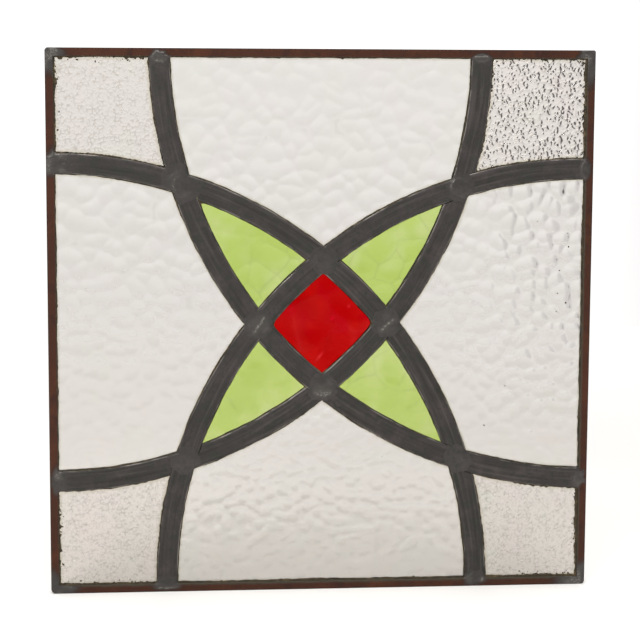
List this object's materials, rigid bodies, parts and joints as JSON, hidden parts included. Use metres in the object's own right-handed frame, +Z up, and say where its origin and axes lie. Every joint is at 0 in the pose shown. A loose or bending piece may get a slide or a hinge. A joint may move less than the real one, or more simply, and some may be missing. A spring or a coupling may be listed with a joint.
{
  "type": "leaded stained glass window panel",
  "caption": "Square leaded glass panel: crossing arcs of lead hold clear, green and red panes inside a metal channel border, made to be set in a frame.",
  "frame": {"origin": "middle of the bottom outer edge, halfway through the panel's thickness", "axes": "+Z up, +X to the right seen from the front, +Y to the back; the panel lies in the XZ plane"},
  "size_m": [0.34, 0.0076, 0.34],
  "materials": {
    "border_channel": "oxidised to a dark reddish brown, matt",
    "lead": "dark grey lead patina with rubbed edges",
    "solder": "dull grey solder, smooth and slightly lumpy",
    "hammered_clear_glass": "clear, hammered on one face",
    "grained_clear_glass": "clear, with a fine crackled grain on one face",
    "green_glass": "yellow green, streaky, lightly hammered",
    "red_glass": "deep red, smooth and glossy"
  },
  "bodies": {
    "root": {"border_bottom": "border_channel", "border_left": "border_channel", "border_right": "border_channel", "border_top": "border_channel", "came_bottom_edge_right": "lead", "came_bottom_left_arc": "lead", "came_bottom_right_arc": "lead", "came_centre_link": "lead", "came_left_edge_lower": "lead", "came_left_edge_upper": "lead", "came_middle_left_to_right_edge": "lead", "came_right_arc": "lead", "came_through_arc": "lead", "came_top_edge_right": "lead", "came_top_left_arc": "lead", "came_top_to_middle_left": "lead", "leaf_bottom_left": "green_glass", "leaf_bottom_right": "green_glass", "leaf_top_left": "green_glass", "leaf_top_right": "green_glass", "pane_bottom": "hammered_clear_glass", "pane_corner_bottom_left": "grained_clear_glass", "pane_corner_bottom_right": "grained_clear_glass", "pane_corner_top_left": "grained_clear_glass", "pane_corner_top_right": "grained_clear_glass", "pane_left": "hammered_clear_glass", "pane_right": "hammered_clear_glass", "pane_top": "hammered_clear_glass", "red_centre": "red_glass", "solder_corner_bottom_left": "solder", "solder_corner_bottom_right": "solder", "solder_corner_top_left": "solder", "solder_corner_top_right": "solder", "solder_end_bottom_left": "solder", "solder_end_bottom_right": "solder", "solder_end_left_lower": "solder", "solder_end_left_upper": "solder", "solder_end_right_lower": "solder", "solder_end_right_upper": "solder", "solder_end_top_left": "solder", "solder_end_top_right": "solder", "solder_lower_left_back": "solder", "solder_lower_left_front": "solder", "solder_lower_right_back": "solder", "solder_lower_right_front": "solder", "solder_middle_bottom_back": "solder", "solder_middle_bottom_front": "solder", "solder_middle_left_back": "solder", "solder_middle_left_front": "solder", "solder_middle_right_back": "solder", "solder_middle_right_front": "solder", "solder_middle_top_back": "solder", "solder_middle_top_front": "solder", "solder_upper_left_back": "solder", "solder_upper_left_front": "solder", "solder_upper_right_back": "solder", "solder_upper_right_front": "solder"}
  },
  "joints": []
}
